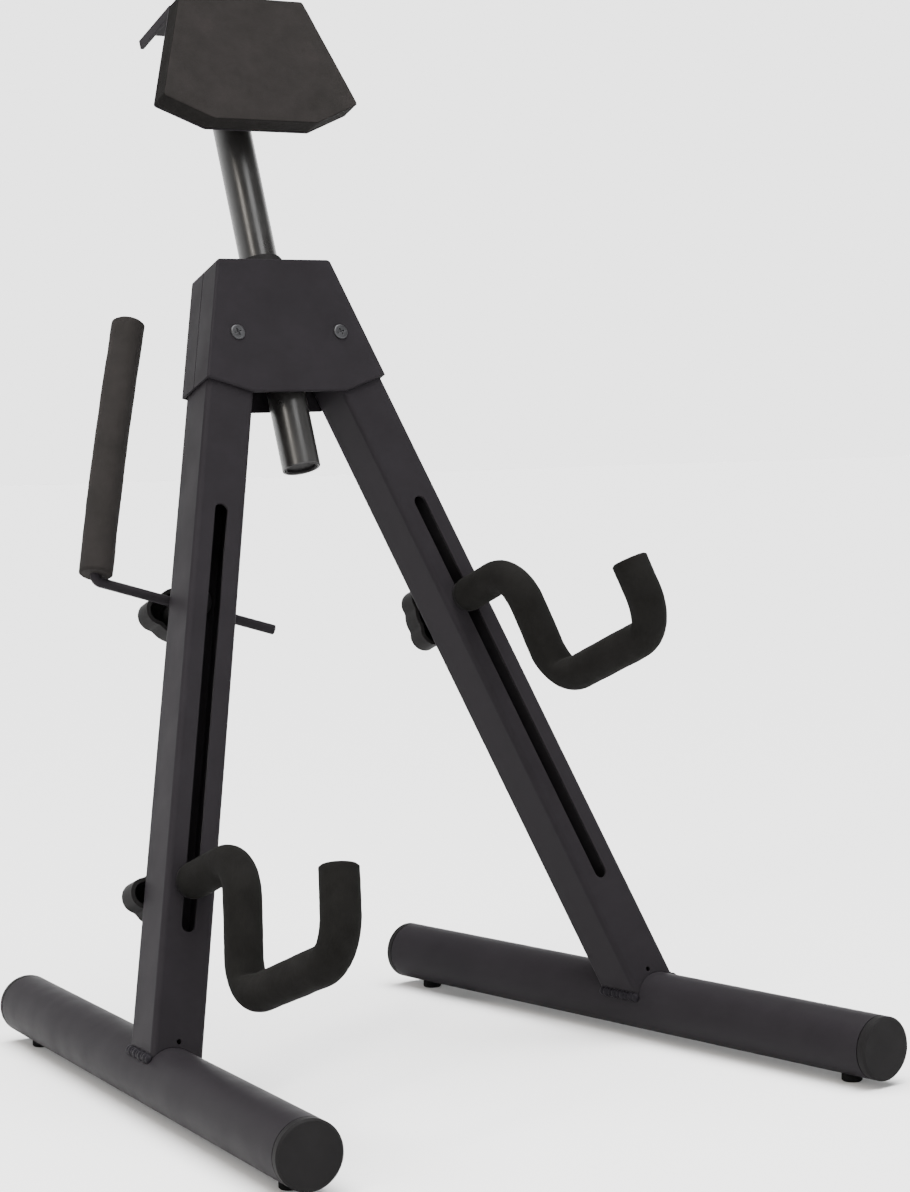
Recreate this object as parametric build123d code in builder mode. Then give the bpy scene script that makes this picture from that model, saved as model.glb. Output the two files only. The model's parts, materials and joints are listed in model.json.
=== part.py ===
from build123d import *
from math import atan, cos, radians, sin, sqrt, tan
import os

# Folding A-frame floor stand for a stringed instrument, in millimetres.
# Two slotted square legs hang from a sheet-metal head and stand on round feet.
# A height-adjustable neck tube carries a padded back plate, each leg carries a
# foam-covered hook on a slot, and a foam-covered side rod hangs on the left leg.

# ---- driving dimensions ----------------------------------------------------
SPLAY = 16.45            # each leg's angle from the centre line, open
LEG_LEAN = 20.33         # a leg's backward lean from its own foot tube's normal
HALF_SPREAD = 171.8      # centre line to where a leg's axis meets its foot's axis

FOOT_D = 38.1            # round foot tube
FOOT_WALL = 1.6
FOOT_FRONT = 209.5       # leg axis to the foot's front face, cap included
FOOT_BACK = 254.3
CAP_T = 6.0
RUBBER_H = 4.0           # height of the tube above the floor
RUBBER_R = 6.2
RUBBER_INSET = 28.0      # rubber foot centre from the cap's face
RUBBER_STEM = 2.4
CAP_EDGE = 1.2
CAP_GROOVE = 0.8
CAP_PLUG = 14.0
JOINT_REACH = 60.0       # half length of tube that a leg's end is cut against

LEG_W = 32.4             # leg tube, across
LEG_D = 34.2             # leg tube, front to back
LEG_WALL = 1.6
LEG_ROUND = 3.2
SLOT_W = 8.6
SLOT_LOW = 82.5          # slot ends, measured up the leg
SLOT_HIGH = 355.5

LEG_VENT_R = 1.5         # vent hole in the leg's front face, above the weld
LEG_VENT_UP = 17.6
BEAD_R = 2.9             # weld beads along the leg's sides
BEAD_COUNT = 9
BEAD_PITCH = 3.9

PIVOT_S = 454.3          # leg pivots, up the frame plane
PIVOT_X = HALF_SPREAD - PIVOT_S * tan(radians(SPLAY))
SCREW_R = 3.0            # pivot screws and pad bolt
SCREW_HEAD_R = 5.0
SCREW_HEAD_H = 1.3
SLEEVE_R = 4.5           # bearing sleeves the legs turn on
PIVOT_WASHER_R = 9.0
NUT_R = 5.8              # across corners, halved
NUT_H = 5.0
SHEET = 1.5              # head covers and pad plate
HEAD_FRONT = 20.0        # cover faces in front of and behind the frame plane
HEAD_TOP_S = 505.6
HEAD_TOP_HALF = 41.3
HEAD_LOW_S = 424.6       # outer lower corners
HEAD_BOTTOM_S = 413.8    # level lower edge
HEAD_BOTTOM_HALF = 34.0
HEAD_CORNER = 3.0
HEAD_EDGE = 1.4          # rounding of the folded edges
FRONT_FLANGE = 20.6      # depth of the front cover's sides
SEAM = 0.7               # gap between the two covers

NECK_R = 12.4            # neck tube
NECK_WALL = 1.5
NECK_LOW_S = 368.0
NECK_TOP_S = 677.0
CLAMP_S = 477.0          # clamp block and rear knob
CLAMP_R = 4.0
CLAMP_OUT = 14.5         # screw's reach behind the rear cover
BLOCK_W = 31.0
BLOCK_H = 26.0
BUSH_R = 14.6            # bush in the head's top, with its collar
BUSH_DEPTH = 12.0
COLLAR_R = 17.5
COLLAR_H = 6.0
GUIDE_S = 440.0          # lower guide plate, inside the head
GUIDE_W = 40.0
GUIDE_T = 2.5
PIN_R = 2.0              # rivet that stops the neck tube at the guide plate
PIN_UP = 6.0
PLUG_H = 3.0             # plug in the neck tube's lower end
NECK_PLUG_H = 24.0       # plug in its upper end

PAD_BACK = 30.0          # pad plate's rear face, ahead of the frame plane
PAD_FRONT = 47.0         # foam's front face
PAD_TOP_S = 678.9
PAD_TOP_HALF = 45.2
PAD_WIDE_S = 605.5
PAD_WIDE_HALF = 71.2
PAD_BOTTOM_S = 590.8
PAD_BOTTOM_HALF = 37.8
PAD_CORNER = 2.0
ROOF_REAR = -8.0         # rear edge of the plate's top flange
TAB_W = 34.0             # rounded-off tab over the neck tube
TAB_REAR = -15.0
LIP_REAR = -19.0         # rear tips of its side lips
LIP_H = 6.0
LIP_T = 2.4
PAD_BOLT_L = 12.0
PAD_BOLT_HEAD = 4.0

HOOK_R = 4.0             # hook rod
HOOK_BEND = 24.0
HOOK_OUT = {-1: 67.2, 1: 57.7}       # leg face to the drop, by side
HOOK_DROP = {-1: 82.4, 1: 78.0}
HOOK_REACH = {-1: 117.7, 1: 110.6}
HOOK_TIP = {-1: 49.5, 1: 45.4}
HOOK_FOAM_R = 11.35
HOOK_FOAM_GAP = 2.8      # leg face to where the foam starts
HOOK_S = {-1: 112.8, 1: 283.4}       # height up each leg
HOOK_ROLL = {-1: 6.0, 1: -3.2}       # drop's swing from the leg line
HOOK_BEHIND = 15.5       # rod's reach behind the leg
FOAM_END = 4.0           # foam left over the hook rod's tip
HOOK_WASHER_R = 10.5
HOOK_WASHER_T = 2.5
REAR_WASHER_R = 10.0
REAR_WASHER_T = 1.6

ROD_R = 3.175            # side rod
ROD_S = 300.8            # height up the left leg
ROD_BACK = 8.0           # rod's axis behind the leg's rear face
ROD_BEND = 4.0
ROD_OUTER = 62.6         # upright, outward of the stud
ROD_INNER = 60.4         # free end, inward of the stud
ROD_UP = 180.0
ROD_ROLL = 1.9           # rod's turn about its stud, upright towards the leg
ROD_FOAM_R = 10.8
STUD_R = 6.8             # barrel of the cross-drilled stud
STUD_BARREL = 14.0
STUD_HEAD_R = 11.0
STUD_HEAD_H = 3.0
STUD_THREAD_R = 4.0
STUD_LENGTH = 33.5
SLIDE_WASHER_T = 1.5

KNOB_LOBE = 9.5          # three-lobed knobs
KNOB_LOBE_OUT = 12.5
KNOB_CORE = 16.0
KNOB_BLEND = 5.0
KNOB_H = 16.0
KNOB_SHELL = 2.6
KNOB_CROWN = 3.5
KNOB_EDGE = 2.2
KNOB_HUB = 7.5
KNOB_STANDOFF = 2.5
KNOB_TURN = {-1: 64, 1: 8}           # hook knobs at rest
SIDE_KNOB_TURN = 52
CLAMP_KNOB_TURN = 90
INSERT_R = 5.6           # threaded insert in a knob
INSERT_L = 14.0
RUN = 0.08               # radial running clearance
GAP = 0.3                # clearance between parts that turn or slide past
NAMES = {-1: "left", 1: "right"}

# ---- frames ----------------------------------------------------------------
LEAN = atan(tan(radians(LEG_LEAN)) * cos(radians(SPLAY)))
AXIS_Z = FOOT_D / 2 + RUBBER_H
RIGHT = Vector(1, 0, 0)
FRONT = Vector(0, -cos(LEAN), sin(LEAN))     # normal of the leaning frame plane
UP = Vector(0, sin(LEAN), cos(LEAN))         # up the frame plane


def leg_up(side):
    return RIGHT * (-side * sin(radians(SPLAY))) + UP * cos(radians(SPLAY))


def leg_right(side):
    return RIGHT * cos(radians(SPLAY)) + UP * (side * sin(radians(SPLAY)))


def foot_back(side):
    """Level direction of a foot tube, from its front to its back."""
    lean = radians(LEG_LEAN)
    return FRONT * -cos(lean) + leg_up(side) * sin(lean)


BASE_Y = -(FOOT_BACK - FOOT_FRONT) / 2 * foot_back(1).Y


def base(side):
    return Vector(side * HALF_SPREAD, BASE_Y, AXIS_Z)


def frame_point(x, s, n=0.0):
    """A point given across, up and in front of the frame plane."""
    return Vector(0, BASE_Y, AXIS_Z) + RIGHT * x + UP * s + FRONT * n


def leg_point(side, x, s, n=0.0):
    """A point given across, up and in front of a leg's own axis."""
    return base(side) + leg_right(side) * x + leg_up(side) * s + FRONT * n


def frame_plane(n):
    return Plane(origin=frame_point(0, 0, n), x_dir=RIGHT, z_dir=FRONT)


def neck_plane(s):
    return Plane(origin=frame_point(0, s), x_dir=RIGHT, z_dir=UP)


def leg_face(side, s, n):
    """A plane facing forward, centred on a leg's axis."""
    return Plane(origin=leg_point(side, 0, s, n), x_dir=leg_right(side), z_dir=FRONT)


def leg_section(side, s=0.0):
    """A plane across a leg."""
    return Plane(origin=leg_point(side, 0, s), x_dir=leg_right(side), z_dir=leg_up(side))


def foot_section(side, t=0.0):
    origin = base(side) + foot_back(side) * t
    return Plane(origin=origin, x_dir=leg_right(side), z_dir=foot_back(side))


def keep(piece, name):
    """Label a finished piece and write it as its own STEP file."""
    piece.part.label = name
    export_step(piece.part, f"parts/{name}.step")


# ---- shared shapes ---------------------------------------------------------
def ring(plane, outer, inner, height):
    """A washer or sleeve standing on a plane."""
    with BuildPart() as piece:
        with BuildSketch(plane):
            Circle(outer)
            Circle(inner, mode=Mode.SUBTRACT)
        extrude(amount=height)
    return piece


def knob_outline(turn, inset=0.0):
    """Three round lobes blended into a centre disc."""
    with BuildSketch() as outline:
        Circle(KNOB_CORE - inset)
        with PolarLocations(KNOB_LOBE_OUT, 3, start_angle=turn):
            Circle(KNOB_LOBE - inset)
        fillet(outline.vertices(), KNOB_BLEND + inset)
    return outline.sketch


def knob(plane, turn, bore):
    """A three-lobed knob, hollow towards its plane, on a hub of its own."""
    rim = knob_outline(turn)
    hollow = knob_outline(turn, KNOB_SHELL)
    with BuildPart() as piece:
        with BuildSketch(plane.offset(KNOB_STANDOFF)):
            add(rim)
        extrude(amount=KNOB_H)
        crown = piece.faces().sort_by(Axis(plane.origin, plane.z_dir))[-1]
        fillet(crown.edges(), KNOB_EDGE)
        with BuildSketch(plane.offset(KNOB_STANDOFF)):
            add(hollow)
        extrude(amount=KNOB_H - KNOB_CROWN, mode=Mode.SUBTRACT)
        with BuildSketch(plane):
            Circle(KNOB_HUB)
        extrude(amount=KNOB_STANDOFF + KNOB_H - KNOB_CROWN + 0.5)
        with BuildSketch(plane):
            Circle(bore)
        extrude(amount=INSERT_L, mode=Mode.SUBTRACT)
    return piece


# ---- feet ------------------------------------------------------------------
def foot_tube(side):
    start = -FOOT_FRONT + CAP_T
    length = FOOT_FRONT + FOOT_BACK - 2 * CAP_T
    blank = ring(foot_section(side, start), FOOT_D / 2, FOOT_D / 2 - FOOT_WALL, length)
    with BuildPart() as tube:
        add(blank.part)
        for spot in rubber_spots(side):
            with BuildSketch(Plane(origin=spot, x_dir=RIGHT, z_dir=(0, 0, 1))):
                Circle(RUBBER_STEM)
            extrude(amount=AXIS_Z, mode=Mode.SUBTRACT)
    keep(tube, f"{NAMES[side]}_foot_tube")


def rubber_spots(side):
    """Floor points under the two rubber feet of one foot tube."""
    along = (-FOOT_FRONT + RUBBER_INSET, FOOT_BACK - RUBBER_INSET)
    return [base(side) + foot_back(side) * t - Vector(0, 0, AXIS_Z) for t in along]


def rubber_feet(side):
    with BuildPart() as feet:
        for spot in rubber_spots(side):
            floor = Plane(origin=spot, x_dir=RIGHT, z_dir=(0, 0, 1))
            with BuildSketch(floor):
                Circle(RUBBER_R)
            extrude(amount=RUBBER_H + 4)
        with BuildSketch(foot_section(side, -FOOT_FRONT)):
            Circle(FOOT_D / 2)
        extrude(amount=FOOT_FRONT + FOOT_BACK, mode=Mode.SUBTRACT)
        chamfer(feet.edges().group_by(Axis.Z)[0], 0.8)
        for spot in rubber_spots(side):
            stem = Plane(origin=spot + Vector(0, 0, 1.5), x_dir=RIGHT, z_dir=(0, 0, 1))
            with BuildSketch(stem):
                Circle(RUBBER_STEM)
            extrude(amount=RUBBER_H + FOOT_WALL + 1.5)
    keep(feet, f"{NAMES[side]}_rubber_feet")


def foot_caps(side):
    """A round plug cap at each end of a foot tube."""
    ends = {"front": (-FOOT_FRONT, 1), "rear": (FOOT_BACK, -1)}
    for place, (t, inward) in ends.items():
        face = foot_section(side, t)
        face = Plane(origin=face.origin, x_dir=face.x_dir, z_dir=face.z_dir * inward)
        with BuildPart() as cap:
            with BuildSketch(face):
                Circle(FOOT_D / 2)
            extrude(amount=CAP_T - CAP_GROOVE)
            chamfer(cap.edges().sort_by(Axis(face.origin, face.z_dir))[0], CAP_EDGE)
            with BuildSketch(face.offset(CAP_T - CAP_GROOVE)):
                Circle(FOOT_D / 2 - FOOT_WALL)
            extrude(amount=CAP_PLUG)
        keep(cap, f"{NAMES[side]}_foot_{place}_cap")


# ---- legs ------------------------------------------------------------------
def leg_tube(side):
    pivot_up = pivot_height()
    with BuildPart() as leg:
        with BuildSketch(leg_section(side)):
            RectangleRounded(LEG_W, LEG_D, LEG_ROUND)
            RectangleRounded(LEG_W - 2 * LEG_WALL, LEG_D - 2 * LEG_WALL, LEG_ROUND - LEG_WALL,
                             mode=Mode.SUBTRACT)
        extrude(amount=pivot_up + LEG_W / 2)
        with BuildSketch(leg_face(side, 0, -LEG_D / 2)):
            with Locations((0, pivot_up)):
                Circle(LEG_W / 2)
            with Locations((0, pivot_up / 2)):
                Rectangle(LEG_W, pivot_up)
        extrude(amount=LEG_D, mode=Mode.INTERSECT)
        with BuildSketch(leg_face(side, 0, -LEG_D / 2)):
            with Locations((0, pivot_up)):
                Circle(SLEEVE_R + RUN)
            with Locations((0, (SLOT_LOW + SLOT_HIGH) / 2)):
                SlotOverall(SLOT_HIGH - SLOT_LOW, SLOT_W, rotation=90)
        extrude(amount=LEG_D, mode=Mode.SUBTRACT)
        with BuildSketch(foot_section(side, -JOINT_REACH)):
            Circle(FOOT_D / 2)
        extrude(amount=2 * JOINT_REACH, mode=Mode.SUBTRACT)
        with BuildSketch(leg_face(side, LEG_VENT_UP, LEG_D / 2 - 2 * LEG_WALL)):
            Circle(LEG_VENT_R)
        extrude(amount=4 * LEG_WALL, mode=Mode.SUBTRACT)
    keep(leg, f"{NAMES[side]}_leg_tube")


def pivot_height():
    """Distance up a leg from its foot's axis to its pivot."""
    return PIVOT_S / cos(radians(SPLAY))


def bead_spots(side):
    """Points along both sides of a leg, where it meets the foot tube."""
    along = foot_back(side)
    above = (leg_up(side) - along * sin(radians(LEG_LEAN))) / cos(radians(LEG_LEAN))
    height = sqrt((FOOT_D / 2) ** 2 - (LEG_W / 2) ** 2)
    start = height * tan(radians(LEG_LEAN)) - BEAD_PITCH * (BEAD_COUNT - 1) / 2
    for edge in (-LEG_W / 2, LEG_W / 2):
        for i in range(BEAD_COUNT):
            t = start + i * BEAD_PITCH
            yield i, base(side) + leg_right(side) * edge + above * height + along * t


def weld_beads(side):
    """Lumpy beads along the two sides of a leg, on the foot tube."""
    spots = list(bead_spots(side))
    with BuildPart() as beads:
        for i, spot in spots:
            with Locations(spot):
                Sphere(BEAD_R + 0.35 * (i % 2))
        with BuildSketch(foot_section(side, -JOINT_REACH)):
            Circle(FOOT_D / 2)
        extrude(amount=2 * JOINT_REACH, mode=Mode.SUBTRACT)
        with BuildSketch(leg_section(side)):
            Rectangle(LEG_W, 2 * LEG_D)
        extrude(amount=JOINT_REACH, mode=Mode.SUBTRACT)
    keep(beads, f"{NAMES[side]}_weld_beads")


# ---- head ------------------------------------------------------------------
def head_outline():
    """Right-hand half of the head: top edge, side along the leg, cut lower corner."""
    low_half = HEAD_TOP_HALF + (HEAD_TOP_S - HEAD_LOW_S) * tan(radians(SPLAY))
    return [(HEAD_TOP_HALF, HEAD_TOP_S), (low_half, HEAD_LOW_S), (HEAD_BOTTOM_HALF, HEAD_BOTTOM_S)]


def mirrored(points):
    """A closed outline from its right-hand points, top to bottom."""
    return points + [(-x, s) for x, s in reversed(points)]


def outline_sketch(points, radius):
    """A mirrored outline with its two top corners rounded."""
    with BuildSketch() as outline:
        Polygon(*mirrored(points), align=None)
        fillet(outline.vertices().group_by(Axis.Y)[-1], radius)
    return outline.sketch


def head_shell(near, far):
    """A cover's plate and sides between two depths, open below and towards the other cover."""
    slope = tan(radians(SPLAY))
    wall = SHEET / cos(radians(SPLAY))
    inner_top = HEAD_TOP_HALF - wall + SHEET * slope
    room = [(inner_top, HEAD_TOP_S - SHEET)]
    drop = HEAD_TOP_S - SHEET - HEAD_BOTTOM_S + FRONT_FLANGE
    room.append((inner_top + drop * slope, HEAD_TOP_S - SHEET - drop))
    inward = 1 if far > near else -1
    depth = abs(far - near)
    outer = outline_sketch(head_outline(), HEAD_CORNER)
    inner = outline_sketch(room, HEAD_CORNER - SHEET)
    with BuildPart() as shell:
        with BuildSketch(frame_plane(near)):
            add(outer)
        extrude(amount=inward * depth)
        with BuildSketch(frame_plane(near + inward * SHEET)):
            add(inner)
        extrude(amount=inward * (depth - SHEET), mode=Mode.SUBTRACT)
    return shell


def pivot_holes(radius):
    with Locations((PIVOT_X, PIVOT_S), (-PIVOT_X, PIVOT_S)):
        Circle(radius)


def head_front_cover():
    shell = head_shell(HEAD_FRONT, HEAD_FRONT - FRONT_FLANGE)
    with BuildPart() as cover:
        add(shell.part)
        face = cover.faces().sort_by(Axis(frame_point(0, 0), FRONT))[-1]
        fillet(face.edges(), HEAD_EDGE)
        with BuildSketch(frame_plane(HEAD_FRONT - SHEET)):
            pivot_holes(SCREW_R)
        extrude(amount=SHEET, mode=Mode.SUBTRACT)
        with BuildSketch(neck_plane(HEAD_TOP_S - SHEET)):
            Circle(BUSH_R)
        extrude(amount=SHEET, mode=Mode.SUBTRACT)
    keep(cover, "head_front_cover")


def head_rear_cover():
    lip = 2 * HEAD_FRONT - FRONT_FLANGE - SEAM
    shell = head_shell(-HEAD_FRONT, -HEAD_FRONT + lip)
    with BuildPart() as cover:
        add(shell.part)
        face = cover.faces().sort_by(Axis(frame_point(0, 0), FRONT))[0]
        fillet(face.edges(), HEAD_EDGE)
        with BuildSketch(frame_plane(-HEAD_FRONT)):
            pivot_holes(SCREW_R)
            with Locations((0, CLAMP_S)):
                Circle(CLAMP_R + RUN)
        extrude(amount=SHEET, mode=Mode.SUBTRACT)
        with BuildSketch(neck_plane(HEAD_TOP_S - SHEET)):
            Circle(BUSH_R)
        extrude(amount=SHEET, mode=Mode.SUBTRACT)
    keep(cover, "head_rear_cover")


def pivot_screws():
    """Flat pan-head screws with cross recesses, through both covers."""
    cut = 1.0
    with BuildPart() as screws:
        with BuildSketch(frame_plane(HEAD_FRONT)):
            pivot_holes(SCREW_HEAD_R)
        extrude(amount=SCREW_HEAD_H)
        rims = screws.edges().group_by(Axis(frame_point(0, 0), FRONT))[-1]
        fillet(rims, SCREW_HEAD_H * 0.7)
        with BuildSketch(frame_plane(HEAD_FRONT + SCREW_HEAD_H - cut)):
            with Locations((PIVOT_X, PIVOT_S), (-PIVOT_X, PIVOT_S)):
                Rectangle(SCREW_HEAD_R, cut, rotation=20)
                Rectangle(cut, SCREW_HEAD_R, rotation=20)
        extrude(amount=cut, mode=Mode.SUBTRACT)
        with BuildSketch(frame_plane(-HEAD_FRONT - NUT_H - 1)):
            pivot_holes(SCREW_R)
        extrude(amount=2 * HEAD_FRONT + NUT_H + 1)
    keep(screws, "pivot_screws")


def pivot_sleeves():
    with BuildPart() as sleeves:
        with BuildSketch(frame_plane(-HEAD_FRONT + SHEET)):
            pivot_holes(SLEEVE_R)
            with Locations((PIVOT_X, PIVOT_S), (-PIVOT_X, PIVOT_S)):
                Circle(SCREW_R, mode=Mode.SUBTRACT)
        extrude(amount=2 * (HEAD_FRONT - SHEET))
    keep(sleeves, "pivot_sleeves")


def pivot_washers():
    """Thin washers that space the legs from the covers."""
    thick = HEAD_FRONT - SHEET - LEG_D / 2 - GAP
    with BuildPart() as washers:
        for n in (-HEAD_FRONT + SHEET, HEAD_FRONT - SHEET - thick):
            with BuildSketch(frame_plane(n)):
                pivot_holes(PIVOT_WASHER_R)
                with Locations((PIVOT_X, PIVOT_S), (-PIVOT_X, PIVOT_S)):
                    Circle(SLEEVE_R, mode=Mode.SUBTRACT)
            extrude(amount=thick)
    keep(washers, "pivot_washers")


def pivot_nuts():
    with BuildPart() as nuts:
        with BuildSketch(frame_plane(-HEAD_FRONT - NUT_H)):
            with Locations((PIVOT_X, PIVOT_S), (-PIVOT_X, PIVOT_S)):
                RegularPolygon(NUT_R, 6)
                Circle(SCREW_R, mode=Mode.SUBTRACT)
        extrude(amount=NUT_H)
    keep(nuts, "pivot_nuts")


# ---- neck guides and clamp -------------------------------------------------
def neck_bush():
    """Flanged bush with a sloping collar, in the head's top."""
    with BuildPart() as bush:
        with BuildSketch(neck_plane(HEAD_TOP_S - BUSH_DEPTH)):
            Circle(BUSH_R)
        extrude(amount=BUSH_DEPTH)
        with BuildSketch(neck_plane(HEAD_TOP_S)):
            Circle(COLLAR_R)
        with BuildSketch(neck_plane(HEAD_TOP_S + COLLAR_H)):
            Circle(BUSH_R - 0.4)
        loft()
        with BuildSketch(neck_plane(HEAD_TOP_S - BUSH_DEPTH)):
            Circle(NECK_R + RUN)
        extrude(amount=BUSH_DEPTH + COLLAR_H, mode=Mode.SUBTRACT)
    keep(bush, "neck_bush")


def clamp_block():
    """Block between the covers that the clamp screw runs in."""
    with BuildPart() as block:
        with BuildSketch(neck_plane(CLAMP_S - BLOCK_H / 2)):
            Rectangle(BLOCK_W, 2 * (HEAD_FRONT - SHEET))
            Circle(NECK_R + RUN, mode=Mode.SUBTRACT)
        extrude(amount=BLOCK_H)
        with BuildSketch(frame_plane(-HEAD_FRONT)):
            with Locations((0, CLAMP_S)):
                Circle(CLAMP_R + RUN)
        extrude(amount=HEAD_FRONT, mode=Mode.SUBTRACT)
    keep(block, "neck_clamp_block")


def guide_plate():
    """Lower guide of the neck tube, between the two covers."""
    with BuildPart() as plate:
        with BuildSketch(neck_plane(GUIDE_S)):
            Rectangle(GUIDE_W, 2 * (HEAD_FRONT - SHEET))
            Circle(NECK_R + RUN, mode=Mode.SUBTRACT)
        extrude(amount=GUIDE_T)
    keep(plate, "neck_guide_plate")


def clamp_screw():
    with BuildPart() as screw:
        with BuildSketch(frame_plane(-HEAD_FRONT - CLAMP_OUT)):
            with Locations((0, CLAMP_S)):
                Circle(CLAMP_R)
        extrude(amount=HEAD_FRONT + CLAMP_OUT - NECK_R - GAP)
    keep(screw, "neck_clamp_screw")


def clamp_knob():
    face = Plane(origin=frame_point(0, CLAMP_S, -HEAD_FRONT - 1), x_dir=RIGHT, z_dir=FRONT * -1)
    keep(knob(face, CLAMP_KNOB_TURN, CLAMP_R), "neck_clamp_knob")


# ---- neck and pad ----------------------------------------------------------
def neck_tube():
    blank = ring(neck_plane(NECK_LOW_S), NECK_R, NECK_R - NECK_WALL, NECK_TOP_S - NECK_LOW_S)
    with BuildPart() as tube:
        add(blank.part)
        low = tube.faces().sort_by(Axis(frame_point(0, 0), UP))[0]
        fillet(low.edges(), NECK_WALL * 0.45)
        with BuildSketch(frame_plane(-NECK_R - 1)):
            with Locations((0, NECK_LOW_S + PIN_UP)):
                Circle(PIN_R)
        extrude(amount=NECK_R + 1, mode=Mode.SUBTRACT)
    keep(tube, "neck_tube")


def neck_stop_pin():
    """Rivet at the tube's back that stops it under the guide plate."""
    proud = 2.2
    with BuildPart() as pin:
        with BuildSketch(frame_plane(-NECK_R - proud)):
            with Locations((0, NECK_LOW_S + PIN_UP)):
                Circle(PIN_R)
        extrude(amount=proud + 2 * NECK_WALL)
    keep(pin, "neck_stop_pin")


def neck_plugs():
    """Dished plug in the tube's lower end, drilled plug in its upper end."""
    inner = NECK_R - NECK_WALL
    with BuildPart() as low:
        with BuildSketch(neck_plane(NECK_LOW_S + 0.8)):
            Circle(inner)
        extrude(amount=PLUG_H)
        with BuildSketch(neck_plane(NECK_LOW_S + 0.8)):
            Circle(inner - 1.4)
        extrude(amount=PLUG_H / 2, mode=Mode.SUBTRACT)
    keep(low, "neck_end_plug")
    high = ring(neck_plane(NECK_TOP_S - NECK_PLUG_H), inner, SCREW_R + RUN, NECK_PLUG_H)
    keep(high, "neck_top_plug")


def pad_outline():
    points = [(PAD_TOP_HALF, PAD_TOP_S), (PAD_WIDE_HALF, PAD_WIDE_S),
              (PAD_BOTTOM_HALF, PAD_BOTTOM_S)]
    with BuildSketch() as outline:
        Polygon(*mirrored(points), align=None)
        fillet(outline.vertices(), PAD_CORNER)
    return outline.sketch


def pad_plate():
    """Flat back plate behind the foam."""
    outline = pad_outline()
    with BuildPart() as plate:
        with BuildSketch(frame_plane(PAD_BACK)):
            add(outline)
        extrude(amount=SHEET)
    keep(plate, "pad_plate")


def flange_box(x, width, rear):
    """A rectangle across and behind the pad plate, in a plane across the neck."""
    with Locations((x, -(PAD_BACK + rear) / 2)):
        Rectangle(width, PAD_BACK - rear)


def pad_flange():
    """Top flange that carries the pad over the neck tube, with a tab past the tube."""
    inner_half = PAD_TOP_HALF - LIP_T
    with BuildPart() as flange:
        with BuildSketch(neck_plane(PAD_TOP_S - SHEET)):
            flange_box(0, 2 * inner_half, ROOF_REAR)
            flange_box(0, TAB_W, TAB_REAR)
            Circle(SCREW_R, mode=Mode.SUBTRACT)
        extrude(amount=SHEET)
    keep(flange, "pad_flange")


def pad_lips():
    """Two stiff lips along the flange's sides, past its rear edge."""
    middle = PAD_TOP_HALF - LIP_T / 2
    with BuildPart() as lips:
        with BuildSketch(neck_plane(PAD_TOP_S - LIP_H)):
            for x in (-middle, middle):
                flange_box(x, LIP_T, LIP_REAR)
        extrude(amount=LIP_H)
    keep(lips, "pad_lips")


def pad_foam():
    outline = pad_outline()
    with BuildPart() as foam:
        with BuildSketch(frame_plane(PAD_BACK + SHEET)):
            add(outline)
        extrude(amount=PAD_FRONT - PAD_BACK - SHEET)
        face = foam.faces().sort_by(Axis(frame_point(0, 0), FRONT))[-1]
        fillet(face.edges(), 0.8)
    keep(foam, "pad_foam")


def pad_bolt():
    """Hex bolt the pad turns on, in the neck tube's upper plug."""
    with BuildPart() as bolt:
        with BuildSketch(neck_plane(PAD_TOP_S)):
            RegularPolygon(NUT_R, 6)
        extrude(amount=PAD_BOLT_HEAD)
        with BuildSketch(neck_plane(PAD_TOP_S - PAD_BOLT_L)):
            Circle(SCREW_R)
        extrude(amount=PAD_BOLT_L)
    keep(bolt, "pad_bolt")


# ---- hooks -----------------------------------------------------------------
def hook_plane(side, n):
    """A plane facing forward on a hook's own axis, turned by the hook's roll."""
    roll = radians(HOOK_ROLL[side])
    across = leg_right(side) * cos(roll) + leg_up(side) * sin(roll)
    return Plane(origin=leg_point(side, 0, HOOK_S[side], n), x_dir=across, z_dir=FRONT)


def hook_path(side, start, tip):
    """Out of the leg, down, out again and up, in the hook's own plane."""
    face = hook_plane(side, 0)
    side_view = Plane(origin=face.origin, x_dir=FRONT, z_dir=face.x_dir * -1)
    out = LEG_D / 2 + HOOK_OUT[side]
    far = out + HOOK_REACH[side]
    low = -HOOK_DROP[side]
    with BuildLine(side_view) as path:
        FilletPolyline((start, 0), (out, 0), (out, low), (far, low), (far, low + tip),
                       radius=HOOK_BEND)
    return path


def hook_rod(side):
    start = -LEG_D / 2 - HOOK_BEHIND
    path = hook_path(side, start, HOOK_TIP[side] - FOAM_END)
    with BuildPart() as rod:
        with BuildSketch(hook_plane(side, start)):
            Circle(HOOK_R)
        sweep(path=path.line)
    keep(rod, f"{NAMES[side]}_hook_rod")


def hook_foam(side):
    start = LEG_D / 2 + HOOK_FOAM_GAP
    path = hook_path(side, start, HOOK_TIP[side])
    inner = hook_path(side, start, HOOK_TIP[side] - FOAM_END)
    with BuildPart() as foam:
        with BuildSketch(hook_plane(side, start)):
            Circle(HOOK_FOAM_R)
        sweep(path=path.line)
        with BuildSketch(hook_plane(side, start)):
            Circle(HOOK_R)
        sweep(path=inner.line, mode=Mode.SUBTRACT)
    keep(foam, f"{NAMES[side]}_hook_foam")


def hook_washers(side):
    bore = HOOK_R + RUN
    front = ring(hook_plane(side, LEG_D / 2), HOOK_WASHER_R, bore, HOOK_WASHER_T)
    keep(front, f"{NAMES[side]}_hook_front_washer")
    behind = hook_plane(side, -LEG_D / 2 - REAR_WASHER_T)
    keep(ring(behind, REAR_WASHER_R, bore, REAR_WASHER_T), f"{NAMES[side]}_hook_rear_washer")


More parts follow.
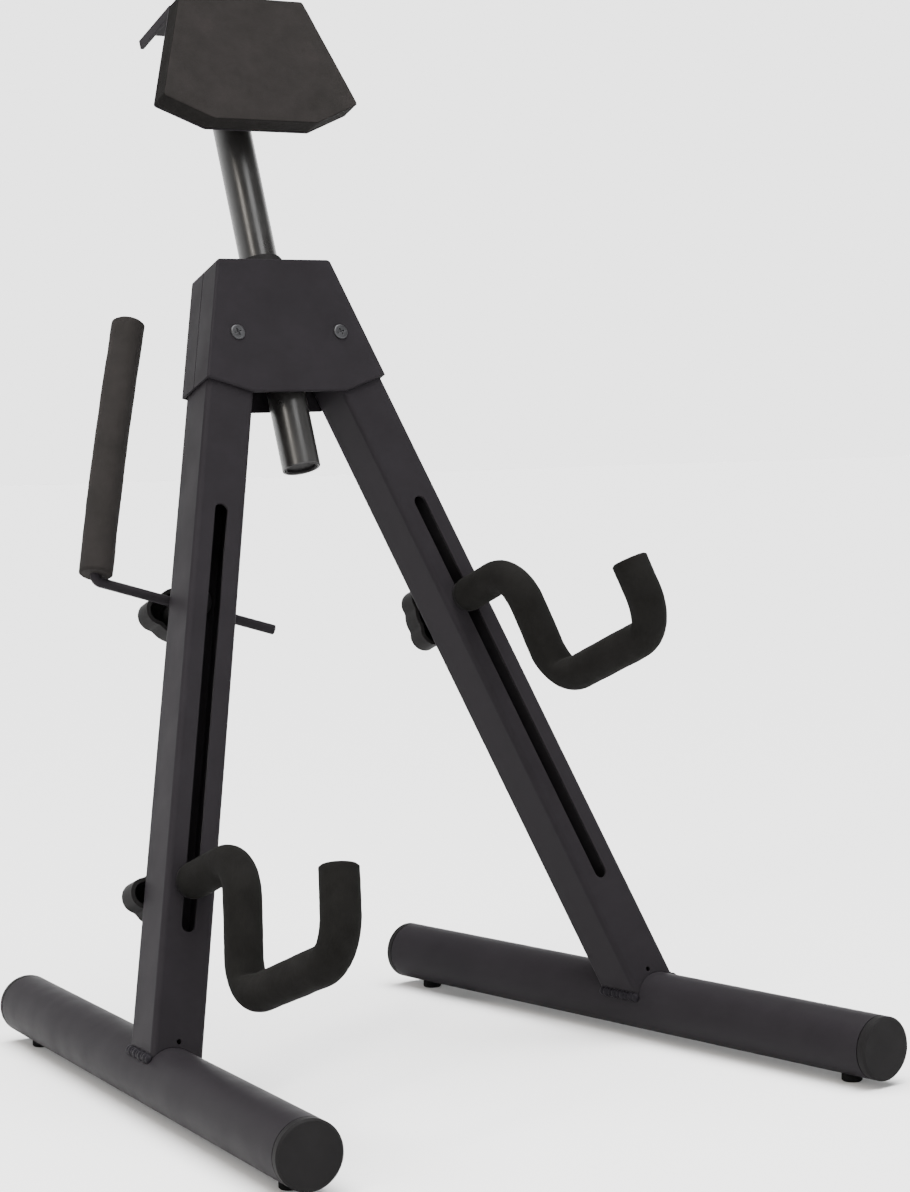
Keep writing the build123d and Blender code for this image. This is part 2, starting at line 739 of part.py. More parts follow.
def hook_knob(side):
    face = hook_plane(side, -LEG_D / 2 - REAR_WASHER_T - GAP)
    rear = Plane(origin=face.origin, x_dir=face.x_dir, z_dir=FRONT * -1)
    keep(knob(rear, KNOB_TURN[side], INSERT_R), f"{NAMES[side]}_hook_knob")
    insert = ring(rear, INSERT_R, HOOK_R + RUN, INSERT_L)
    keep(insert, f"{NAMES[side]}_hook_knob_insert")


# ---- side rod --------------------------------------------------------------
def side_point(x, s, k):
    """A point on the left leg, given across, up and behind its rear face."""
    return leg_point(-1, x, s, -LEG_D / 2 - k)


def side_rear(k):
    """A plane facing backward on the side stud's axis."""
    return Plane(origin=side_point(0, ROD_S, k), x_dir=leg_right(-1), z_dir=FRONT * -1)


def rod_plane(x, height, facing="across"):
    """A plane on the side rod, in its own frame: across along the rod, or up along its upright."""
    roll = radians(ROD_ROLL)
    across = leg_right(-1) * cos(roll) - leg_up(-1) * sin(roll)
    up = leg_up(-1) * cos(roll) + leg_right(-1) * sin(roll)
    spot = side_point(0, ROD_S, ROD_BACK) + across * x + up * height
    if facing == "front":
        return Plane(origin=spot, x_dir=across, z_dir=FRONT)
    return Plane(origin=spot, x_dir=FRONT, z_dir=across if facing == "across" else up)


def side_stud():
    """Stud held in the leg's slot by its head, cross-drilled for the side rod."""
    under = -LEG_WALL - GAP
    with BuildPart() as stud:
        with BuildSketch(side_rear(under - STUD_HEAD_H)):
            Circle(STUD_HEAD_R)
        extrude(amount=STUD_HEAD_H)
        with BuildSketch(side_rear(under)):
            Circle(STUD_THREAD_R)
        extrude(amount=STUD_LENGTH)
        with BuildSketch(side_rear(SLIDE_WASHER_T + GAP)):
            Circle(STUD_R)
        extrude(amount=STUD_BARREL)
        with BuildSketch(rod_plane(-2 * STUD_R, 0)):
            Circle(ROD_R + RUN)
        extrude(amount=4 * STUD_R, mode=Mode.SUBTRACT)
    keep(stud, "side_stud")


def side_washers():
    slide = ring(side_rear(0), REAR_WASHER_R, STUD_THREAD_R + RUN, SLIDE_WASHER_T)
    keep(slide, "side_slide_washer")
    behind = side_rear(SLIDE_WASHER_T + GAP + STUD_BARREL)
    keep(ring(behind, PIVOT_WASHER_R, STUD_THREAD_R, REAR_WASHER_T), "side_press_washer")


def side_knob():
    face = side_rear(SLIDE_WASHER_T + STUD_BARREL + REAR_WASHER_T + 2 * GAP)
    keep(knob(face, SIDE_KNOB_TURN, INSERT_R), "side_knob")
    keep(ring(face, INSERT_R, STUD_THREAD_R + RUN, INSERT_L), "side_knob_insert")


def side_rod():
    with BuildLine(rod_plane(0, 0, "front")) as path:
        FilletPolyline((ROD_INNER, 0), (-ROD_OUTER, 0), (-ROD_OUTER, ROD_UP - FOAM_END),
                       radius=ROD_BEND)
    with BuildPart() as rod:
        with BuildSketch(rod_plane(ROD_INNER, 0)):
            Circle(ROD_R)
        sweep(path=path.line)
    keep(rod, "side_rod")


def side_foam():
    """Foam sleeve over the side rod's upright, closed over its top."""
    foot = rod_plane(-ROD_OUTER, ROD_BEND, "up")
    with BuildPart() as foam:
        with BuildSketch(foot):
            Circle(ROD_FOAM_R)
        extrude(amount=ROD_UP - ROD_BEND)
        with BuildSketch(foot):
            Circle(ROD_R)
        extrude(amount=ROD_UP - ROD_BEND - FOAM_END, mode=Mode.SUBTRACT)
    keep(foam, "side_rod_foam")


# ---- the whole stand -------------------------------------------------------
os.makedirs("parts", exist_ok=True)

for side in NAMES:
    foot_tube(side)
    rubber_feet(side)
    foot_caps(side)
    leg_tube(side)
    weld_beads(side)
    hook_rod(side)
    hook_foam(side)
    hook_washers(side)
    hook_knob(side)

head_front_cover()
head_rear_cover()
pivot_screws()
pivot_sleeves()
pivot_washers()
pivot_nuts()

neck_bush()
clamp_block()
guide_plate()
clamp_screw()
clamp_knob()

neck_tube()
neck_stop_pin()
neck_plugs()
pad_plate()
pad_flange()
pad_lips()
pad_foam()
pad_bolt()

side_stud()
side_washers()
side_knob()
side_rod()
side_foam()
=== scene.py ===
"""Looks of the folding instrument stand: foam sleeves and pad, powder coat, plastics, light and camera."""

import json
import math

import bmesh
import bpy
from mathutils import Matrix, Vector, noise


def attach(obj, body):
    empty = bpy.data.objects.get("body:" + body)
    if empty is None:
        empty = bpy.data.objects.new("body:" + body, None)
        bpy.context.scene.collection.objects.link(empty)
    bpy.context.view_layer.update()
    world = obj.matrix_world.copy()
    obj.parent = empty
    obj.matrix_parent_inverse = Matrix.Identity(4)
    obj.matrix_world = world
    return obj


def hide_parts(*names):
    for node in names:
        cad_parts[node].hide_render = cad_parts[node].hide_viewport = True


MM = 0.001

# ---- sizes of the foam pieces, shared with the CAD, in metres ----------------
LEG_DEPTH = 34.2 * MM
HOOK_START = 2.8 * MM        # foam starts this far ahead of the leg's face
HOOK_OUT = {"left": 67.2 * MM, "right": 57.7 * MM}
HOOK_DROP = {"left": 82.4 * MM, "right": 78.0 * MM}
HOOK_REACH = {"left": 117.7 * MM, "right": 110.6 * MM}
HOOK_TIP = {"left": 49.5 * MM, "right": 45.4 * MM}
HOOK_ROLL = {"left": 6.0, "right": -3.2}
HOOK_BEND = 24 * MM
HOOK_FOAM_R = 11.35 * MM
HOOK_R = 4 * MM
ROD_R = 3.175 * MM
SIDE_FOAM_R = 10.8 * MM
SIDE_OUT = 62.6 * MM
SIDE_BACK = 8 * MM
SIDE_START = 4 * MM
SIDE_UP = 180 * MM
SIDE_BOW = 1.2 * MM          # slight outward curve of the side sleeve
SWIVEL_BACK = 25 * MM        # the side rod's swivel is given this far behind the leg's middle
PAD_BACK = 31.5 * MM         # foam's rear and front faces, ahead of the neck's axis
PAD_FRONT = 47.0 * MM
PAD_TOP = 6.9 * MM           # foam's corners, measured up from the pad's swivel
PAD_WIDE = -66.5 * MM
PAD_LOW = -81.2 * MM
PAD_TOP_HALF = 45.2 * MM
PAD_WIDE_HALF = 71.2 * MM
PAD_LOW_HALF = 37.8 * MM

# ---- how the foam is shaped and meshed ---------------------------------------
ROUTE_STEP = 1.0 * MM        # spacing of a hook sleeve's rings
SIDE_RINGS = 176
SLEEVE_SIDES = 64
FOLD = 0.85                  # how sharply the foam folds inside a bend
ON_BEND = 0.3 * MM           # a point this near a bend's arc belongs to it
SLEEVE_LIP = 1.3 * MM        # rounding of a sleeve's cut ends
SLEEVE_BROAD = (55, 0.28 * MM)    # waves over the foam: scale and height
SLEEVE_FINE = (210, 0.10 * MM)
PAD_BROAD = (38, 0.45 * MM)
PAD_FINE = (150, 0.14 * MM)
SLEEVE_UNDER = 0.2 * MM      # how far the uneven foam stays within its true size
WALL_UNDER = 0.2 * MM
FACE_UNDER = 0.3 * MM
BORE_GAP = 0.2 * MM
BORE_DEPTH = 3 * MM
END_CENTRE = 0.6 * MM        # radius of the small disc that closes a cut end
END_DIP = 0.7 * MM
END_SHARES = (0.93, 0.8, 0.6, 0.45, 0.3, 0.15, 0.0)
PAD_CORNER = 1.2 * MM
PAD_STEP = 1.6 * MM
PAD_CREASE = 0.7 * MM        # rounding between the pad's wall and its front
WALL_RINGS = 6
CREASE_RINGS = 4
FACE_RINGS = 34

# ---- finishes ----------------------------------------------------------------
COAT_SPECULAR = 0.02
PAINTED_SHADE_FACING = 0.6             # pad faces turned further than this from the front get darker foam: painted shade on the pad's walls
END_FACING = 0.9             # neck faces turned along its axis are its dull ends

# ---- studio and camera -------------------------------------------------------
FLOOR_HALF = 40.0
FLOOR_TONE = 0.80
LENS = 82.74
CAMERA_PLACE = (-0.85816, -1.43738, 0.37928)
HEADING, PITCH, ROLL = 32.279, -3.055, -1.655

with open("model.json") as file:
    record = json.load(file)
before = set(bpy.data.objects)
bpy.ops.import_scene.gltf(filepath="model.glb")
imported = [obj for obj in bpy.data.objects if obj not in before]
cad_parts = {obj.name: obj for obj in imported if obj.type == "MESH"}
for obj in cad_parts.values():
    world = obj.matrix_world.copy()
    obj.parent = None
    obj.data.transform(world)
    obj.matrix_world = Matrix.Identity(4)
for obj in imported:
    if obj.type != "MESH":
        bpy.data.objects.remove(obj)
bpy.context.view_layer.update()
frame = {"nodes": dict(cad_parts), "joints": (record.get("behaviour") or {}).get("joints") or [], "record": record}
joints = {joint["name"]: joint for joint in frame["joints"]}


def joint_pos(name):
    return Vector(joints[name]["pos_m"])


def joint_axis(name):
    return Vector(joints[name]["axis"]).normalized()


FRONT = joint_axis("neck_clamp_turn")
UP = joint_axis("neck_slide")
RIGHT = UP.cross(FRONT)


# ---- mesh helpers -------------------------------------------------------------
def finished_mesh(name, bm):
    """A mesh from a closed bmesh, with its faces turned outward."""
    bmesh.ops.recalc_face_normals(bm, faces=bm.faces)
    mesh = bpy.data.meshes.new(name)
    bm.to_mesh(mesh)
    bm.free()
    return mesh


def new_object(name, mesh, body, cad_node):
    """Link a mesh, let it ride on a CAD body and stand for a CAD node."""
    obj = bpy.data.objects.new(name, mesh)
    bpy.context.scene.collection.objects.link(obj)
    for polygon in mesh.polygons:
        polygon.use_smooth = True
    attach(obj, body)
    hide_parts(cad_node)
    return obj


def join_rings(bm, first, second):
    """A band of faces between two closed rings of as many vertices."""
    count = len(first)
    for k in range(count):
        n = (k + 1) % count
        bm.faces.new((first[k], first[n], second[n], second[k]))


def rounded_route(corners, bend, step):
    """Points along straight runs joined by arcs of one bend radius, and the bends themselves."""
    points = [corners[0]]
    bends = []
    for before, corner, after in zip(corners, corners[1:], corners[2:]):
        inward = (before - corner).normalized()
        outward = (after - corner).normalized()
        half = inward.angle(outward) / 2
        cut = bend / math.tan(half)
        centre = corner + (inward + outward).normalized() * (bend / math.sin(half))
        start = corner + inward * cut - centre
        turn = math.pi - 2 * half
        axis = start.cross(corner + outward * cut - centre)
        count = max(2, round(bend * turn / step))
        points += [centre + Matrix.Rotation(turn * i / count, 3, axis) @ start for i in range(count + 1)]
        bends.append((centre, start, turn, axis.normalized()))
    points.append(corners[-1])
    return resampled(points, step), bends


def resampled(points, step):
    """The same line with points at an even spacing."""
    runs = [(b - a).length for a, b in zip(points, points[1:])]
    total = sum(runs)
    count = round(total / step)
    found = []
    index, passed = 0, 0.0
    for i in range(count + 1):
        target = total * i / count
        while index < len(runs) - 1 and passed + runs[index] < target:
            passed += runs[index]
            index += 1
        share = min(1.0, (target - passed) / runs[index]) if runs[index] else 0.0
        found.append(points[index].lerp(points[index + 1], share))
    return found


def pinched(offset, point, bends):
    """An offset from a route's point, drawn back where the foam folds inside a bend."""
    for centre, start, turn, axis in bends:
        arm = point - centre
        radius = start.length
        travelled = start.angle(arm)
        if abs(arm.length - radius) > ON_BEND or travelled > turn or start.cross(arm).dot(axis) < 0:
            continue
        inward = -arm.normalized()
        depth = offset.dot(inward)
        if depth <= 0:
            return offset
        slant = math.cos(min(travelled, turn - travelled))
        folded = radius - (radius - depth) / slant
        return offset + inward * (folded - depth) * FOLD * (depth / HOOK_FOAM_R) ** 2
    return offset


def unevenness(spot, seed, broad, fine):
    """Gentle waves over a foam surface: a broad one and a fine one, each a scale and a height."""
    wave = noise.noise(spot * broad[0] + Vector((seed, 0, 0))) * broad[1]
    return wave + noise.noise(spot * fine[0] + Vector((0, seed, 0))) * fine[1]


def end_shrink(edge):
    """How far a sleeve's wall draws in at this distance from its cut end."""
    return SLEEVE_LIP - math.sqrt(max(0.0, SLEEVE_LIP ** 2 - (SLEEVE_LIP - min(edge, SLEEVE_LIP)) ** 2))


def sleeve_ring(bm, point, across, radius, shrink, seed, bends):
    """One ring of a sleeve's wall; across holds the ring's two directions."""
    ring = []
    for k in range(SLEEVE_SIDES):
        angle = math.tau * k / SLEEVE_SIDES
        way = across[0] * math.cos(angle) + across[1] * math.sin(angle)
        wave = unevenness(point + way * radius, seed, SLEEVE_BROAD, SLEEVE_FINE)
        offset = way * (radius - shrink + wave - SLEEVE_UNDER)
        ring.append(bm.verts.new(point + pinched(offset, point, bends)))
    return ring


def sleeve(name, route, radius, bore, seed, bends=()):
    """A foam tube round a route: soft uneven wall, rounded cut ends, and a bore at its start."""
    bm = bmesh.new()
    tangents = [(b - a).normalized() for a, b in zip(route, route[1:])]
    tangents.append(tangents[-1])
    normal = tangents[0].orthogonal().normalized()
    length = sum((b - a).length for a, b in zip(route, route[1:]))
    rings = []
    run = 0.0
    for i, point in enumerate(route):
        tangent = tangents[i]
        normal = (normal - tangent * normal.dot(tangent)).normalized()
        if i:
            run += (point - route[i - 1]).length
        shrink = end_shrink(min(run, length - run))
        across = (normal, tangent.cross(normal))
        rings.append(sleeve_ring(bm, point, across, radius, shrink, seed, bends))
    for first, second in zip(rings, rings[1:]):
        join_rings(bm, first, second)
    close_end(bm, rings[0], route[0], -tangents[0], bore)
    close_end(bm, rings[-1], route[-1], tangents[-1], 0.0)
    return finished_mesh(name, bm)


def close_end(bm, ring, centre, outward, bore):
    """A cut end: a flat face that dips slightly, closed over or left with a bore."""
    last = ring
    reach = (ring[0].co - centre).length
    inner = bore if bore else END_CENTRE
    for share in END_SHARES:
        dip = 0.0 if bore else (1 - share) * END_DIP
        grown = inner + (reach - inner) * share
        fresh = []
        for vert in ring:
            way = vert.co - centre
            way = (way - outward * way.dot(outward)).normalized()
            fresh.append(bm.verts.new(centre + way * grown - outward * dip))
        join_rings(bm, last, fresh)
        last = fresh
    if not bore:
        bm.faces.new(last)
        return
    join_rings(bm, last, [bm.verts.new(vert.co - outward * BORE_DEPTH) for vert in last])


# ---- foam pieces ----------------------------------------------------------------
def hook_foam(side, seed):
    origin = joint_pos(f"{side}_hook_swivel")
    front = joint_axis(f"{side}_hook_swivel")
    up = joint_axis(f"{side}_hook_slide")
    across = up.cross(front)
    roll = math.radians(HOOK_ROLL[side])
    up = up * math.cos(roll) - across * math.sin(roll)
    face = origin + front * (LEG_DEPTH / 2)
    drop = face + front * HOOK_OUT[side]
    tip = drop + front * HOOK_REACH[side]
    low = -up * HOOK_DROP[side]
    corners = [face + front * HOOK_START, drop, drop + low, tip + low, tip + low + up * HOOK_TIP[side]]
    route, bends = rounded_route(corners, HOOK_BEND, ROUTE_STEP)
    mesh = sleeve(f"{side}_hook_sleeve", route, HOOK_FOAM_R, HOOK_R + BORE_GAP, seed, bends)
    obj = new_object(f"{side}_hook_sleeve", mesh, f"{side}_hook", f"{side}_hook_foam")
    return obj


def side_foam(seed):
    front = joint_axis("side_rod_swivel")
    across = -joint_axis("side_rod_reach")
    up = front.cross(across)
    rod = joint_pos("side_rod_swivel") + front * (SWIVEL_BACK - LEG_DEPTH / 2 - SIDE_BACK)
    foot = rod - across * SIDE_OUT
    route = []
    for i in range(SIDE_RINGS + 1):
        share = i / SIDE_RINGS
        height = SIDE_START + (SIDE_UP - SIDE_START) * share
        bow = SIDE_BOW * math.sin(math.pi * share)
        route.append(foot + up * height - across * bow)
    mesh = sleeve("side_rod_sleeve", route, SIDE_FOAM_R, ROD_R + BORE_GAP, seed)
    obj = new_object("side_rod_sleeve", mesh, "side_rod", "side_rod_foam")
    return obj


def pad_loop():
    """Corner-rounded outline of the pad, as points across and up."""
    half = [(PAD_TOP_HALF, PAD_TOP), (PAD_WIDE_HALF, PAD_WIDE), (PAD_LOW_HALF, PAD_LOW)]
    corners = [Vector((x, y, 0)) for x, y in half + [(-x, y) for x, y in reversed(half)]]
    middle = (corners[0] + corners[-1]) / 2
    return rounded_route([middle] + corners + [middle], PAD_CORNER, PAD_STEP)[0][:-1]


def inset(spot, centre, depth):
    return spot + (centre - spot).normalized() * depth


def pad_rings(loop):
    """Loops from the pad's back edge, up its wall, round its crease and in to its middle."""
    centre = Vector((0, (PAD_TOP + PAD_WIDE) / 2, 0))
    wall = PAD_FRONT - PAD_BACK - PAD_CREASE
    rings = [[(spot, PAD_BACK + wall * i / WALL_RINGS) for spot in loop] for i in range(WALL_RINGS + 1)]
    for i in range(1, CREASE_RINGS + 1):
        turn = math.pi / 2 * i / CREASE_RINGS
        depth = PAD_FRONT - PAD_CREASE * (1 - math.sin(turn))
        drawn = PAD_CREASE * (1 - math.cos(turn))
        rings.append([(inset(spot, centre, drawn), depth) for spot in loop])
    for i in range(1, FACE_RINGS):
        share = 1 - i / FACE_RINGS
        rings.append([(centre + (spot - centre) * share, PAD_FRONT) for spot in loop])
    return rings


def pad_spot(spot, depth, seed):
    """A pad point in space, with the foam's shallow unevenness."""
    place = joint_pos("pad_swivel") + RIGHT * spot.x + UP * spot.y + FRONT * depth
    wave = unevenness(place, seed, PAD_BROAD, PAD_FINE)
    if depth < PAD_FRONT - PAD_CREASE:
        outward = (RIGHT * spot.x + UP * (spot.y - PAD_WIDE / 2)).normalized()
        return place + outward * (wave - WALL_UNDER)
    return place + FRONT * (wave - FACE_UNDER)


def pad_foam(seed):
    bm = bmesh.new()
    rings = []
    for ring in pad_rings(pad_loop()):
        rings.append([bm.verts.new(pad_spot(spot, depth, seed)) for spot, depth in ring])
    for first, second in zip(rings, rings[1:]):
        join_rings(bm, first, second)
    bm.faces.new(rings[-1])
    bm.faces.new(rings[0])
    mesh = finished_mesh("pad_cushion", bm)
    obj = new_object("pad_cushion", mesh, "pad", "pad_foam")
    return obj


hook_sleeves = [hook_foam("left", 3.0), hook_foam("right", 8.0)]
side_sleeve = side_foam(14.0)
pad_cushion = pad_foam(21.0)


# ---- materials ------------------------------------------------------------------
def material(name):
    """An empty node material with its principled shader."""
    mat = bpy.data.materials.new(name)
    mat.use_nodes = True
    nodes = mat.node_tree.nodes
    nodes.clear()
    output = nodes.new("ShaderNodeOutputMaterial")
    shader = nodes.new("ShaderNodeBsdfPrincipled")
    mat.node_tree.links.new(shader.outputs["BSDF"], output.inputs["Surface"])
    return mat, shader


def noise_node(mat, scale, detail=3.0, roughness=0.55):
    tree = mat.node_tree
    coords = tree.nodes.new("ShaderNodeTexCoord")
    node = tree.nodes.new("ShaderNodeTexNoise")
    node.inputs["Scale"].default_value = scale
    node.inputs["Detail"].default_value = detail
    node.inputs["Roughness"].default_value = roughness
    tree.links.new(coords.outputs["Object"], node.inputs["Vector"])
    return node.outputs["Fac"]


def spread(mat, source, low, high, start=0.3, end=0.7):
    """A value remapped from start..end to low..high."""
    node = mat.node_tree.nodes.new("ShaderNodeMapRange")
    node.inputs["From Min"].default_value = start
    node.inputs["From Max"].default_value = end
    node.inputs["To Min"].default_value = low
    node.inputs["To Max"].default_value = high
    mat.node_tree.links.new(source, node.inputs["Value"])
    return node.outputs["Result"]


def blend_colour(mat, factor, dark, light):
    node = mat.node_tree.nodes.new("ShaderNodeMix")
    node.data_type = "RGBA"
    node.inputs["A"].default_value = (*dark, 1)
    node.inputs["B"].default_value = (*light, 1)
    mat.node_tree.links.new(factor, node.inputs["Factor"])
    return node.outputs["Result"]


def bump(mat, height, distance, strength, below=None):
    node = mat.node_tree.nodes.new("ShaderNodeBump")
    node.inputs["Distance"].default_value = distance
    node.inputs["Strength"].default_value = strength
    mat.node_tree.links.new(height, node.inputs["Height"])
    if below is not None:
        mat.node_tree.links.new(below, node.inputs["Normal"])
    return node.outputs["Normal"]


def soft_edges(mat, radius):
    node = mat.node_tree.nodes.new("ShaderNodeBevel")
    node.samples = 6
    node.inputs["Radius"].default_value = radius
    return node.outputs["Normal"]


def cloudy(mat, shader, cloud, colours, roughs):
    """Colour and roughness that drift between two values each with the same cloud."""
    link = mat.node_tree.links.new
    link(blend_colour(mat, cloud, *colours), shader.inputs["Base Color"])
    link(spread(mat, cloud, *roughs), shader.inputs["Roughness"])


def powder_coat(name, colours, rough, grain, specular=COAT_SPECULAR):
    """Black powder coat: fine orange peel, cloudy roughness, softened edges."""
    mat, shader = material(name)
    cloudy(mat, shader, noise_node(mat, 38, 4.0), colours, (rough - 0.05, rough + 0.06))
    edges = soft_edges(mat, 0.7 * MM)
    peel = bump(mat, noise_node(mat, 1400, 2.0), 0.04 * MM, grain, edges)
    mat.node_tree.links.new(peel, shader.inputs["Normal"])
    shader.inputs["Specular IOR Level"].default_value = specular
    return mat


def foam(name, colours, specular, pore):
    """Closed-cell foam: pores of two sizes and a dry, cloudy black."""
    mat, shader = material(name)
    link = mat.node_tree.links.new
    link(blend_colour(mat, noise_node(mat, 60, 5.0, 0.6), *colours), shader.inputs["Base Color"])
    shader.inputs["Roughness"].default_value = 0.88
    shader.inputs["Specular IOR Level"].default_value = specular
    pores = bump(mat, noise_node(mat, 1500, 3.0, 0.7), 0.25 * MM, pore)
    link(bump(mat, noise_node(mat, 330, 3.0), 0.5 * MM, 0.3, pores), shader.inputs["Normal"])
    return mat


def moulded(name, colours, rough):
    """Moulded black plastic or rubber with a fine grain."""
    mat, shader = material(name)
    cloudy(mat, shader, noise_node(mat, 45), colours, (rough - 0.04, rough + 0.06))
    grain = bump(mat, noise_node(mat, 2200, 2.0), 0.03 * MM, 0.4, soft_edges(mat, 0.5 * MM))
    mat.node_tree.links.new(grain, shader.inputs["Normal"])
    shader.inputs["Specular IOR Level"].default_value = COAT_SPECULAR
    return mat


def weld_coat(name, colours):
    """Powder coat over the ripples and spatter of a hand-laid weld."""
    mat, shader = material(name)
    cloudy(mat, shader, noise_node(mat, 90, 4.0), colours, (0.34, 0.5))
    ripples = bump(mat, noise_node(mat, 260, 2.0), 0.8 * MM, 0.6, soft_edges(mat, 1.6 * MM))
    spatter = bump(mat, noise_node(mat, 900, 2.0), 0.2 * MM, 0.4, ripples)
    mat.node_tree.links.new(spatter, shader.inputs["Normal"])
    shader.inputs["Specular IOR Level"].default_value = COAT_SPECULAR
    return mat


def machined(name, colour, rough, metallic):
    """Turned or stamped steel with faint tool marks."""
    mat, shader = material(name)
    colours = (colour, [channel * 1.3 for channel in colour])
    cloudy(mat, shader, noise_node(mat, 300), colours, (rough - 0.06, rough + 0.08))
    shader.inputs["Metallic"].default_value = metallic
    mat.node_tree.links.new(soft_edges(mat, 0.3 * MM), shader.inputs["Normal"])
    return mat


COAT = ((0.0100, 0.0090, 0.0102), (0.0140, 0.0127, 0.0144))
WELD = ((0.0065, 0.0060, 0.0072), (0.0110, 0.0100, 0.0120))
GLOSS = ((0.006, 0.0056, 0.0054), (0.009, 0.0085, 0.0082))
PLASTIC = ((0.0070, 0.0067, 0.0069), (0.0125, 0.0121, 0.0124))
RUBBER = ((0.004, 0.004, 0.004), (0.007, 0.007, 0.007))
HOOK_FOAM = ((0.0034, 0.0033, 0.0030), (0.0086, 0.0083, 0.0078))
# Lighter foam tones: painted light, a lit copy of the hook foam for the pad and the side sleeve, which face the
# lamps.
PAINTED_LIGHT_FOAM = ((0.0068, 0.0066, 0.0060), (0.0175, 0.0150, 0.0146))
# Darker foam tones: painted shade for the pad's walls.
PAINTED_SHADE_FOAM = ((0.0030, 0.0028, 0.0026), (0.0075, 0.0068, 0.0064))

FINISHES = {
    "black_coat": powder_coat("black_coat", COAT, 0.46, 0.25),
    "weld_coat": weld_coat("weld_coat", WELD),
    "black_gloss_coat": powder_coat("black_gloss_coat", GLOSS, 0.32, 0.04, 0.45),
    "black_steel": machined("black_steel", (0.035, 0.035, 0.037), 0.38, 0.85),
    "bright_steel": machined("bright_steel", (0.5, 0.5, 0.51), 0.3, 1.0),
    "black_plastic": moulded("black_plastic", PLASTIC, 0.46),
    "black_foam": foam("black_foam", HOOK_FOAM, 0.03, 0.6),
    "black_rubber": moulded("black_rubber", RUBBER, 0.7),
}
# A lighter copy of the foam: painted light for the pieces that face the lamps.
painted_light_foam = foam("painted_light_foam", PAINTED_LIGHT_FOAM, 0.08, 0.9)
# A darker copy of the foam: painted shade on the pad's walls.
painted_shade_foam = foam("painted_shade_foam", PAINTED_SHADE_FOAM, 0.04, 0.7)


def dress(obj, finish):
    obj.data.materials.clear()
    obj.data.materials.append(finish)


def second_finish(obj, finish, chosen):
    """Give an object's chosen faces a second finish."""
    obj.data.materials.append(finish)
    for polygon in obj.data.polygons:
        if chosen(obj.matrix_world.to_3x3() @ polygon.normal):
            polygon.material_index = 1


node_slots = {part["node"]: part["material_slot"] for part in frame["record"]["subparts"]}
for node, obj in frame["nodes"].items():
    dress(obj, FINISHES[node_slots[node]])
for obj in hook_sleeves:
    dress(obj, FINISHES["black_foam"])
# The side sleeve and the pad get the lighter foam, painted light where they face the lamps.
dress(side_sleeve, painted_light_foam)
dress(pad_cushion, painted_light_foam)
# The pad's walls get the darker foam: painted shade on all of them alike.
second_finish(pad_cushion, painted_shade_foam, lambda normal: abs(normal.dot(FRONT)) < PAINTED_SHADE_FACING)
neck_tube = frame["nodes"]["neck_tube"]
second_finish(neck_tube, FINISHES["black_coat"], lambda normal: abs(normal.dot(UP)) > END_FACING)


# ---- studio ----------------------------------------------------------------------
def floor():
    """A wide pale floor."""
    bm = bmesh.new()
    corners = ((-1, -1), (1, -1), (1, 1), (-1, 1))
    bm.faces.new([bm.verts.new((x * FLOOR_HALF, y * FLOOR_HALF, 0)) for x, y in corners])
    mesh = bpy.data.meshes.new("studio_floor")
    bm.to_mesh(mesh)
    bm.free()
    obj = bpy.data.objects.new("studio_floor", mesh)
    bpy.context.scene.collection.objects.link(obj)
    mat, shader = material("studio_floor")
    shader.inputs["Base Color"].default_value = (FLOOR_TONE, FLOOR_TONE, FLOOR_TONE, 1)
    shader.inputs["Roughness"].default_value = 1.0
    shader.inputs["Specular IOR Level"].default_value = 0.0
    mesh.materials.append(mat)


def softbox(name, place, target, size, power, colour=(1, 1, 1)):
    light = bpy.data.lights.new(name, "AREA")
    light.shape = "RECTANGLE"
    light.size, light.size_y = size
    light.energy = power
    light.color = colour
    obj = bpy.data.objects.new(name, light)
    obj.location = place
    obj.rotation_euler = (Vector(target) - Vector(place)).to_track_quat("-Z", "Y").to_euler()
    bpy.context.scene.collection.objects.link(obj)


def world_band(tree, height, start, end, level):
    """A level that fades in between two heights of the view direction."""
    node = tree.nodes.new("ShaderNodeMapRange")
    node.interpolation_type = "SMOOTHSTEP"
    node.inputs["From Min"].default_value = start
    node.inputs["From Max"].default_value = end
    node.inputs["To Min"].default_value = 0.0
    node.inputs["To Max"].default_value = level
    tree.links.new(height, node.inputs["Value"])
    return node.outputs["Result"]


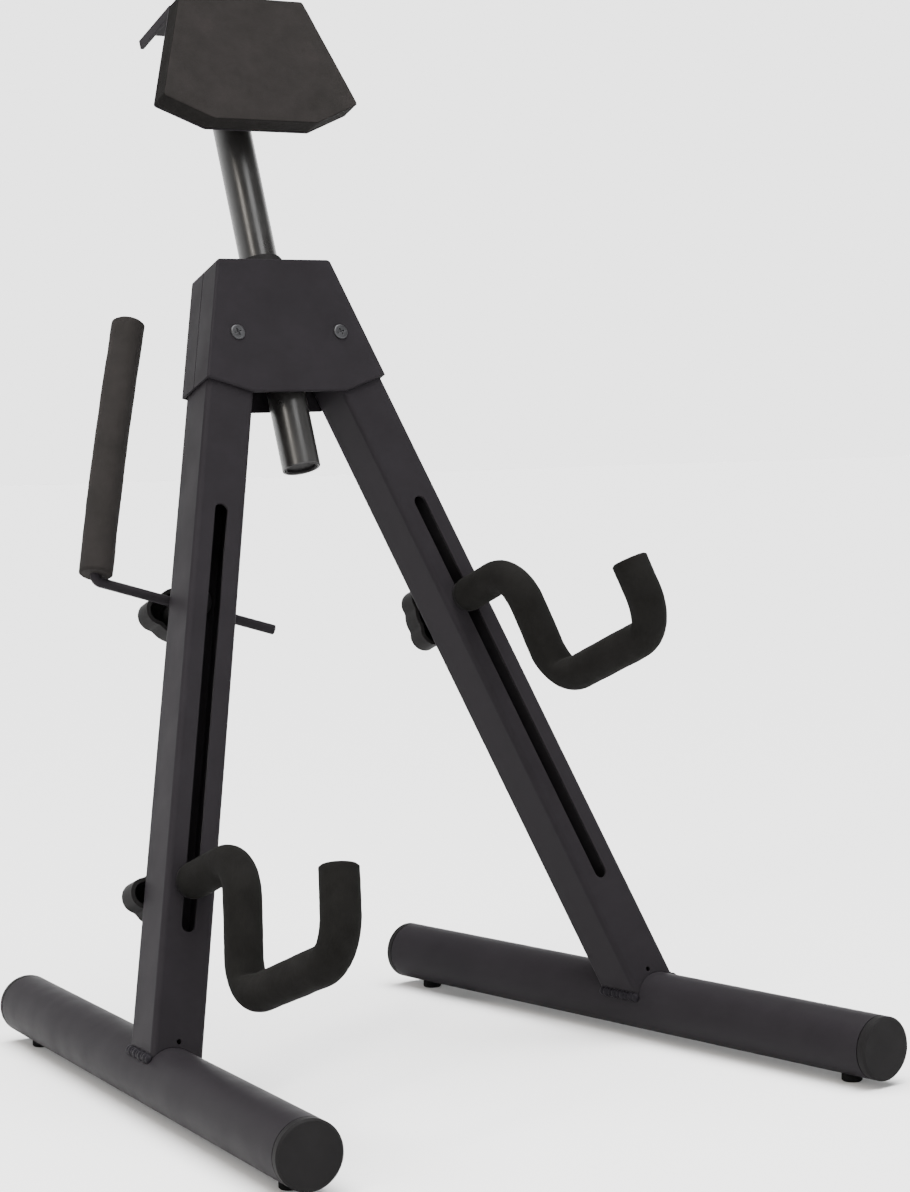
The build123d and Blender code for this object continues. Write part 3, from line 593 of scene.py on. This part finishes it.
def world_sum(tree, first, second, constant):
    """Two levels and a constant, added up."""
    pair = tree.nodes.new("ShaderNodeMath")
    pair.operation = "ADD"
    tree.links.new(first, pair.inputs[0])
    tree.links.new(second, pair.inputs[1])
    total = tree.nodes.new("ShaderNodeMath")
    total.operation = "ADD"
    tree.links.new(pair.outputs["Value"], total.inputs[0])
    total.inputs[1].default_value = constant
    return total.outputs["Value"]


def world_light(horizon, ceiling, overhead):
    """Studio surround: pale walls, a dark upper band, and a large soft box overhead."""
    world = bpy.data.worlds.new("studio_world")
    world.use_nodes = True
    tree = world.node_tree
    coords = tree.nodes.new("ShaderNodeTexCoord")
    split = tree.nodes.new("ShaderNodeSeparateXYZ")
    tree.links.new(coords.outputs["Generated"], split.inputs["Vector"])
    walls = world_band(tree, split.outputs["Z"], 0.40, 0.24, horizon - ceiling)
    top = world_band(tree, split.outputs["Z"], 0.80, 0.93, overhead)
    background = tree.nodes["Background"]
    tree.links.new(world_sum(tree, walls, top, ceiling), background.inputs["Strength"])
    background.inputs["Color"].default_value = (1, 1, 1, 1)
    bpy.context.scene.world = world


def camera():
    """A viewpoint left of the front, a little above mid height."""
    heading, pitch, roll = math.radians(HEADING), math.radians(PITCH), math.radians(ROLL)
    level_way = Vector((math.sin(heading), math.cos(heading), 0))
    forward = level_way * math.cos(pitch) + Vector((0, 0, math.sin(pitch)))
    level = Vector((math.cos(heading), -math.sin(heading), 0))
    right = level * math.cos(roll) + level.cross(forward) * math.sin(roll)
    data = bpy.data.cameras.new("camera")
    data.lens = LENS
    data.sensor_width = 36
    data.clip_start = 0.05
    data.clip_end = 60
    obj = bpy.data.objects.new("camera", data)
    turn = Matrix((right, right.cross(forward), -forward)).transposed().to_4x4()
    obj.matrix_world = Matrix.Translation(CAMERA_PLACE) @ turn
    bpy.context.scene.collection.objects.link(obj)
    bpy.context.scene.camera = obj


floor()
world_light(horizon=3.0, ceiling=0.25, overhead=13.4)
softbox("left_strip", (-1.53, -0.59, 1.66), (0, 0.1, 0.5), (0.16, 1.4), 27, (1.0, 0.94, 0.86))
softbox("front_box", (0.1, -0.75, 1.3), (0, 0.15, 0.5), (0.5, 0.5), 6)
softbox("right_box", (2.0, -1.8, 1.6), (0, 0, 0.4), (0.9, 1.6), 4)
camera()
